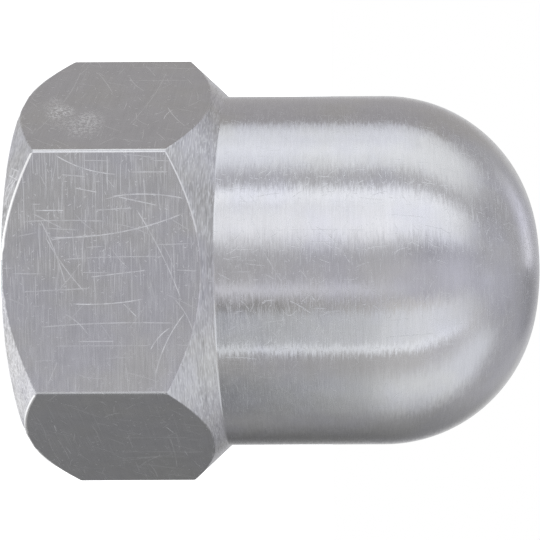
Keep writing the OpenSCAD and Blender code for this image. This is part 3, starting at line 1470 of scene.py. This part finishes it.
    @staticmethod
    def _lower_chamfer() -> MetalFinish:
        """The chamfer of the bearing face, with a sparkling grain and a few scratches.

        Returns:
            The finish.
        """
        long_scratches = scratches_on(
            FRONT, ((-3.1, 0.1), (-4.9, 0.9), 1.0, 0.0, 0.05), ((-3.4, 0.15), (-4.1, 0.6), 1.0, 0.0, 0.05),
            ((-4.9, 0.2), (-4.2, 0.8), 1.0, 0.0, 0.045), ((-3.7, 0.1), (-4.8, 0.5), 1.0, 0.05, 0.05),
            ((-5.3, 0.3), (-4.6, 0.9), 1.0, 0.0, 0.045), ((-4.1, 0.05), (-4.4, 0.6), 1.0, 0.0, 0.05),
            ((-3.6, 0.5), (-5.1, 0.55), 0.9, 0.05, 0.045), ((-3.9, 0.25), (-4.35, 0.8), 1.0, 0.0, 0.045))
        return MetalFinish(
            "lower_chamfer", roughness=0.32, waver=0.1, grain=Grain(0.3, 0.06, 0.9, 3.0),
            marked=(0.95, 0.95, 0.96),
            streaks=(Streaks(0.14, 0.06, 0.55, 0.75), Streaks(0.35, 0.045, 0.58, 0.60)),
            scratches=(Scratches(3.0, 90.0, 80.0, 0.12, 0.028, 0.4, 0.45, 0.6),
                       Scratches(0.8, 30.0, 60.0, 0.9, 0.028, 0.2, 0.6, 0.6)),
            smoother=(-1.0, -4.5, 0.35), long_scratches=long_scratches)

    @staticmethod
    def _crown() -> MetalFinish:
        """The turned crown and dome, whose scratches look light on dark bands and dark on light ones.

        Returns:
            The finish.
        """
        long_scratches = scratches_on(
            FRONT, ((-3.0, 11.1), (-1.55, 11.65), 0.8, 0.0, 0.035),
            ((-1.8, 14.7), (-1.35, 15.1), 0.9, 0.0, 0.035), ((-4.2, 11.9), (-4.55, 12.1), 0.7, 0.0, 0.035),
            ((-2.0, 11.8), (-2.0, 16.5), 0.6, 0.03, 0.03), ((-2.6, 12.5), (-2.65, 14.2), 0.5, 0.0, 0.03),
            ((-3.6, 14.9), (-3.3, 17.5), 0.5, 0.05, 0.03), ((-1.05, 11.75), (0.5, 12.6), 0.6, 0.0, 0.035),
            ((-1.1, 10.3), (-1.1, 11.3), 0.5, 0.0, 0.03), ((-0.6, 10.0), (-0.55, 11.4), 0.5, 0.0, 0.03),
            ((0.0, 10.3), (0.0, 11.2), 0.6, 0.0, 0.03), ((3.4, 17.2), (3.3, 19.6), 0.8, 0.05, 0.035),
            ((-2.8, 17.4), (-2.7, 19.2), 0.8, 0.05, 0.035), ((4.6, 9.9), (4.75, 11.4), 0.8, 0.06, 0.035),
            ((1.35, 10.7), (1.85, 11.1), 0.6, 0.04), ((2.0, 11.15), (1.5, 11.35), 0.4),
            ((1.55, 11.7), (1.4, 11.85), 1.0, 0.0, 0.05), ((1.4, 11.85), (1.35, 12.3), 0.8),
            ((1.8, 12.6), (1.85, 13.3), 0.9, -0.33), ((1.4, 12.95), (2.1, 13.95), 0.75, 0.05, 0.033),
            ((1.15, 13.95), (1.4, 14.1), 1.0, 0.0, 0.05), ((2.2, 14.4), (1.95, 15.3), 0.5, 0.08),
            ((-4.55, 14.5), (-4.75, 14.7), 1.0, 0.0, 0.05))
        long_scratches += scratches_on(
            UPPER_SIDE, ((4.75, 11.9), (4.75, 12.15), 0.9, 0.0, 0.045), ((1.65, 13.35), (1.3, 13.55), 0.9),
            ((1.3, 15.0), (1.0, 15.3), 0.8))
        return MetalFinish(
            "turned_crown", tone=(0.60, 0.598, 0.625), roughness=0.19, anisotropy=0.8, waver=0.06,
            tinting=0.4, grain=Grain(1.0, 0.06, 0.12, 1.2), marked=(0.74, 0.75, 0.77),
            marked_roughness=0.42,
            streaks=(Streaks(0.7, 0.05, 0.58, 0.28), Streaks(0.3, 0.04, 0.60, 0.28)),
            scratches=(Scratches(3.0, 90.0, 80.0, 0.12, 0.026, 0.4, 0.5, 0.6),
                       Scratches(1.3, 0.0, 90.0, 0.5, 0.025, 0.6, 0.6, 0.68),
                       Scratches(0.6, 90.0, 12.0, 0.9, 0.026, 0.1, 0.5, 0.6),
                       Scratches(1.6, 0.0, 5.0, 0.6, 0.026, 0.05, 0.7, 0.5)),
            smoother=(1.0, 3.6, 0.42), long_scratches=long_scratches)


@dataclass
class CapNut:
    """The whole nut as one closed mesh."""

    sizes: NutSizes
    shell: Shell = field(init=False)
    bore: Bore = field(init=False)

    def __post_init__(self) -> None:
        """Plans the shell and the bore."""
        self.shell = Shell(self.sizes)
        self.bore = Bore(self.sizes, columns=self.shell.mouth_columns)

    def _side_middles(self) -> tuple[float, ...]:
        """Works out the surface map's place of the middle of each side.

        Returns:
            Its place round the nut, for each side.
        """
        around, per_flat = self.shell.columns.around, self.shell.per_flat
        starts = range(0, len(around) - 1, per_flat + self.shell.per_corner)
        return tuple((around[start] + around[start + per_flat]) / 2 for start in starts)

    def build(self) -> bpy.types.Object:
        """Returns:
            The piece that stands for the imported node.
        """
        middles = self._side_middles()
        finishes = {zone: finish.material(middles) for zone, finish in Finishes().by_zone.items()}
        draft = Draft()
        self.shell.lay(draft)
        self.bore.lay(draft, self.sizes.mouth_round * (1 - math.sqrt(0.5)), finishes[Zone.BORE])
        mesh = draft.finished("turned_nut")
        for zone in Zone:
            mesh.materials.append(finishes[zone])
        nut = place_object("turned_nut", mesh)
        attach(nut, BODY)
        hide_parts(NODE)
        return nut


def tinted(brightness: float, colour: Colour) -> Colour:
    """A light's colour, from its brightness and its tint."""
    return tuple(brightness * part for part in colour)


@dataclass(frozen=True)
class Panel:
    """A tall soft panel of light, or a dark card, standing round the nut.

    Attributes:
        name: What it does.
        azimuth: Direction of its middle, in degrees from -Y towards -X.
        half_width: Half of its width, in degrees.
        edge: Softness of its sides, in degrees.
        high: Its brightness above the horizon.
        low: Its brightness below the horizon.
        top: Height of its upper end, in degrees.
        fade: Softness of its upper end, in degrees.
        colour: Its tint.
    """

    name: str
    azimuth: float
    half_width: float
    edge: float
    high: float
    low: float
    top: float
    fade: float
    colour: Colour = WHITE


@dataclass(frozen=True)
class Disc:
    """A soft round patch of light or shade in one direction.

    Attributes:
        name: What it does.
        azimuth: Direction of its middle, in degrees from -Y towards -X.
        elevation: Height of its middle, in degrees.
        radius: Its radius, in degrees.
        edge: Softness of its rim, in degrees.
        brightness: Its brightness.
        colour: Its tint.
        strength: How much of what is behind it it hides.
    """

    name: str
    azimuth: float
    elevation: float
    radius: float
    edge: float
    brightness: float
    colour: Colour = WHITE
    strength: float = 1.0

    def direction(self) -> tuple[float, float, float]:
        """Unit vector towards its middle."""
        x, y = level(math.radians(self.azimuth)) * math.cos(math.radians(self.elevation))
        return float(-y), float(-x), math.sin(math.radians(self.elevation))


@dataclass
class Studio:
    """Pale floor, a background that only the camera sees as white, and the panels that the metal mirrors.

    Attributes:
        surround: Colour that the metal mirrors between the panels.
        overhead: Colour of the light straight above.
        overhead_edge: Heights between which the overhead light takes over, in degrees.
        horizon_edge: Heights between which a panel's lower brightness turns into its upper, in degrees.
        underside: Brightness under the nut on its two sides, along X.
        underside_tint: Tint of the light from under the nut.
        underside_edge: Places along X between which one side's brightness turns into the other's.
        underside_top: Heights between which the underside takes over, in degrees.
        floor_reach: Half the floor's width, in metres.
        floor_drop: How far the floor lies under the bearing face.
        floor_tone: Colour of the floor.
        floor_glow: How much it is lifted towards white for the camera.
        lamp_size: Width of the softbox, in metres.
        lamp_power: Power of the softbox, in watts.
        lamp_place: Where the softbox hangs, in metres.
        panels: The panels. A later one stands in front of the ones before it.
        discs: The discs, in front of all panels.
    """

    surround: Colour = tinted(0.53, (0.99, 0.985, 1.025))
    overhead: Colour = tinted(0.635, PALE_LILAC)
    overhead_edge: tuple[float, float] = (66.0, 82.0)
    horizon_edge: tuple[float, float] = (-5.0, 4.5)
    underside: tuple[float, float] = (0.68, 1.21)
    underside_tint: Colour = (1.0, 1.0, 1.02)
    underside_edge: tuple[float, float] = (-0.9, 0.9)
    underside_top: tuple[float, float] = (-27.0, -41.0)
    floor_reach: float = 0.9
    floor_drop: float = 0.02
    floor_tone: Colour = (0.86, 0.86, 0.86)
    floor_glow: float = 0.62
    lamp_size: float = 0.35
    lamp_power: float = 0.9
    lamp_place: tuple[float, float, float] = (0.06, 0.1, 0.4)
    panels: tuple[Panel, ...] = (
        Panel("upper_key", 86.0, 21.5, 10.5, 1.11, 1.09, 50.5, 14.0, COOL),
        Panel("upper_line", 83.0, 4.0, 6.0, 1.24, 1.24, 20.0, 8.0, COOL),
        Panel("upper_dark_card", 134.0, 24.5, 1.5, 0.48, 0.48, 29.0, 4.0, (1.03, 1.0, 0.99)),
        Panel("upper_gap", 63.0, 2.0, 9.5, 0.565, 0.63, 54.0, 3.0, (1.005, 0.995, 1.02)),
        Panel("high_key", 38.0, 16.0, 8.0, 1.23, 0.92, 59.0, 15.0, COOLER),
        Panel("high_strip", 49.0, 5.0, 4.0, 1.37, 1.37, 50.0, 8.0, COOLER),
        Panel("front_dip", -7.0, 15.0, 7.0, 0.71, 0.56, 33.0, 16.0, (1.0, 0.99, 1.02)),
        Panel("front_glow", 29.0, 12.0, 13.0, 1.48, 1.18, 11.0, 15.0, (0.98, 0.99, 1.03)),
        Panel("low_fill", -38.0, 15.0, 4.0, 1.06, 0.49, 61.0, 24.0, (0.98, 1.0, 1.03)),
        Panel("front_line", -11.5, 3.0, 3.0, 0.80, 1.00, 20.0, 6.0, PALE_LILAC),
        Panel("front_gap", -22.0, 3.0, 3.0, 0.84, 0.26, 41.0, 10.0, (1.02, 1.0, 0.97)),
        Panel("low_strip", -51.3, 2.8, 1.6, 1.47, 1.14, 55.0, 5.0, (0.97, 1.0, 1.04)),
        Panel("low_gap", -65.0, 12.0, 4.0, 0.70, 0.43, 78.0, 8.0, (1.01, 1.0, 1.0)),
        Panel("low_side", -90.0, 19.0, 11.0, 1.02, 0.24, 64.0, 7.0, (0.98, 1.0, 1.01)),
        Panel("low_dark_card", -134.0, 30.0, 29.0, 0.34, 0.31, 26.0, 10.0),
        Panel("back_glow", 179.5, 21.0, 11.0, 0.72, 0.56, 28.5, 3.0),
    )
    discs: tuple[Disc, ...] = (
        Disc("dark_corner", -141.0, -5.0, 10.0, 18.0, 0.15),
        Disc("back_fill", 145.0, 45.5, 6.5, 4.5, 0.82, strength=0.6),
        Disc("low_back_fill", -152.0, 38.0, 8.0, 6.0, 0.66, strength=0.4),
        Disc("back_light_start", 150.0, 46.5, 4.5, 3.5, 0.92, LILAC, 0.8),
        Disc("back_light_left", 157.5, 48.0, 5.0, 3.5, 1.10, LILAC),
        Disc("back_light_middle", 165.0, 49.5, 5.5, 3.5, 1.20, LILAC),
        Disc("back_light_end", 173.0, 50.0, 5.5, 3.0, 1.32, LILAC),
        Disc("back_shade", -168.5, 45.0, 8.5, 3.0, 0.36, PALE_LILAC),
        Disc("back_shade_top", -171.2, 53.0, 6.0, 2.0, 0.36, PALE_LILAC),
        Disc("front_streak", -7.0, 52.0, 11.0, 16.0, 0.98, LILAC, 0.8),
        Disc("top_spot", -20.0, 77.0, 4.0, 3.0, 0.95, (0.96, 0.97, 1.06), 0.8),
        Disc("low_kicker", 0.0, -68.0, 16.0, 12.0, 1.65),
    )

    def _ring_group(self) -> bpy.types.NodeTree:
        """Builds the node group that gives the light from any direction round the nut.

        Returns:
            The group.
        """
        inputs = {"Azimuth": "Float", "Elevation": "Float"}
        desk = Desk.for_group("studio_ring", "Shader", inputs, ("Light", "Color"))
        given = desk.add("NodeGroupInput").outputs
        azimuth, height = given["Azimuth"], given["Elevation"]
        rise = desk.ease(height, *self.horizon_edge)
        light: Any = self.surround
        for panel in self.panels:
            turn = desk.math("WRAP", desk.math("SUBTRACT", azimuth, panel.azimuth), 180.0, -180.0)
            inside = desk.ease(desk.math("ABSOLUTE", turn), panel.half_width + panel.edge,
                               panel.half_width - panel.edge)
            under = desk.ease(height, panel.top + panel.fade, panel.top - panel.fade)
            shown = desk.tint(rise, tinted(panel.low, panel.colour), tinted(panel.high, panel.colour))
            light = desk.tint(desk.math("MULTIPLY", inside, under), light, shown)
            light.node.label = panel.name
        light = desk.tint(desk.ease(height, *self.overhead_edge), light, self.overhead)
        desk.add("NodeGroupOutput", {0: light})
        return desk.tree

    def _hang_discs(self, desk: Desk, unit: Socket, light: Socket) -> Socket:
        """Puts the soft discs in front of the panels.

        Args:
            desk: Where the nodes go.
            unit: Direction looked in.
            light: Light of the panels in that direction.

        Returns:
            Light of panels and discs.
        """
        for disc in self.discs:
            closeness = desk.vector("DOT_PRODUCT", unit, disc.direction())
            away = desk.math("DEGREES", desk.math("ARCCOSINE", closeness))
            inside = desk.ease(away, disc.radius + disc.edge, disc.radius - disc.edge, 0.0, disc.strength)
            light = desk.tint(inside, light, tinted(disc.brightness, disc.colour))
            light.node.label = disc.name
        return light

    def light_world(self) -> None:
        """Builds the world: white to the camera, and else the panels over a pale underside."""
        world = bpy.data.worlds.new("studio")
        bpy.context.scene.world = world
        desk = Desk.for_owner(world)
        unit = desk.vector("NORMALIZE", desk.add("ShaderNodeTexCoord").outputs["Generated"])
        x, y, z = desk.split(unit)
        height = desk.math("DEGREES", desk.math("ARCSINE", z))
        turn = desk.math("ARCTAN2", desk.math("MULTIPLY", x, -1.0), desk.math("MULTIPLY", y, -1.0))
        feeds = {"Azimuth": desk.math("DEGREES", turn), "Elevation": height}
        panels = desk.add("ShaderNodeGroup", feeds, node_tree=self._ring_group()).outputs[0]
        under = desk.ease(x, *self.underside_edge, *self.underside)
        pale = desk.scale(self.underside_tint, under)
        lit = self._hang_discs(desk, unit, desk.tint(desk.ease(height, *self.underside_top), panels, pale))
        seen = desk.add("ShaderNodeLightPath").outputs["Is Camera Ray"]
        background = desk.add("ShaderNodeBackground", {"Color": desk.tint(seen, lit, WHITE)})
        desk.add("ShaderNodeOutputWorld", {0: background.outputs[0]})

    def paint_floor(self) -> bpy.types.Material:
        """Mixes the floor's paint, which is clear to the metal's reflections and from below.

        Returns:
            The paint.
        """
        paint = bpy.data.materials.new("pale_floor")
        desk = Desk.for_owner(paint)
        path = desk.add("ShaderNodeLightPath").outputs
        below = desk.add("ShaderNodeNewGeometry").outputs["Backfacing"]
        matt = desk.add("ShaderNodeBsdfDiffuse", {"Color": (*self.floor_tone, 1.0)}).outputs[0]
        lift = desk.math("MULTIPLY", path["Is Camera Ray"], self.floor_glow)
        glow = desk.add("ShaderNodeEmission", {"Strength": lift}).outputs[0]
        plain = desk.add("ShaderNodeAddShader", {0: matt, 1: glow}).outputs[0]
        clear = desk.add("ShaderNodeBsdfTransparent").outputs[0]
        mirrored = desk.math("MAXIMUM", path["Is Glossy Ray"], path["Is Transmission Ray"])
        share = desk.math("MAXIMUM", mirrored, below)
        whole = desk.add("ShaderNodeMixShader", {0: share, 1: plain, 2: clear}).outputs[0]
        desk.add("ShaderNodeOutputMaterial", {0: whole})
        return paint

    def lay_floor(self) -> None:
        """Lays the pale floor just under the bearing face."""
        mesh = bpy.data.meshes.new("floor")
        side, low = self.floor_reach, -self.floor_drop * MM
        corners = [(-side, -side, low), (side, -side, low), (side, side, low), (-side, side, low)]
        mesh.from_pydata(corners, [], [(0, 1, 2, 3)])
        mesh.materials.append(self.paint_floor())
        place_object("floor", mesh)

    def hang_softbox(self) -> None:
        """Hangs a wide soft lamp overhead, for the floor's shadow only."""
        lamp = bpy.data.lights.new("softbox", "AREA")
        lamp.shape = "DISK"
        lamp.size = self.lamp_size
        lamp.energy = self.lamp_power
        box = place_object("softbox", lamp)
        box.location = self.lamp_place
        box.rotation_euler = (-box.location).to_track_quat("-Z", "Y").to_euler()
        box.visible_glossy = False

    def build(self) -> None:
        """Builds world, floor and lamp."""
        self.light_world()
        self.lay_floor()
        self.hang_softbox()
        bpy.context.scene.view_settings.view_transform = "Standard"


@dataclass
class Viewpoint:
    """The camera, level with the middle of the nut and lying on its side.

    Attributes:
        height: Height of the lens above the bearing face.
        distance: Distance of the lens from the axis.
        tilt: Small turns about the picture's level, upright and depth axes, in radians.
        lens: Focal length.
        sensor: Width of the film.
        shift: How far the lens is shifted, as parts of the picture.
        clip: Nearest and farthest distance seen, in metres.
    """

    height: float = 15.83
    distance: float = 67.155
    tilt: tuple[float, float, float] = (0.04187, -0.0011, 0.00524)
    lens: float = 85.476
    sensor: float = 36.0
    shift: tuple[float, float] = (-0.1511, 0.1019)
    clip: tuple[float, float] = (0.005, 10.0)

    def build(self) -> None:
        """Sets up the camera."""
        data = bpy.data.cameras.new("camera")
        data.lens, data.sensor_width = self.lens, self.sensor
        data.shift_x, data.shift_y = self.shift
        data.clip_start, data.clip_end = self.clip
        lying = Matrix(((0.0, -1.0, 0.0), (0.0, 0.0, -1.0), (1.0, 0.0, 0.0)))
        turn = (Matrix.Rotation(self.tilt[2], 3, "Z") @ Matrix.Rotation(self.tilt[1], 3, "Y")
                @ Matrix.Rotation(self.tilt[0], 3, "X"))
        camera = place_object("camera", data)
        camera.matrix_world = (Matrix.Translation((0.0, -self.distance * MM, self.height * MM))
                               @ (lying @ turn.transposed()).to_4x4())
        bpy.context.scene.camera = camera


def main() -> None:
    """Builds the camera, the nut and its studio."""
    logging.basicConfig(level=logging.INFO, format="%(name)s: %(message)s")
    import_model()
    Viewpoint().build()
    nut = CapNut(NutSizes.from_frame()).build()
    LOG.info("%s: %d faces", nut.name, len(nut.data.polygons))
    Studio().build()


if __name__ == "__main__":
    main()
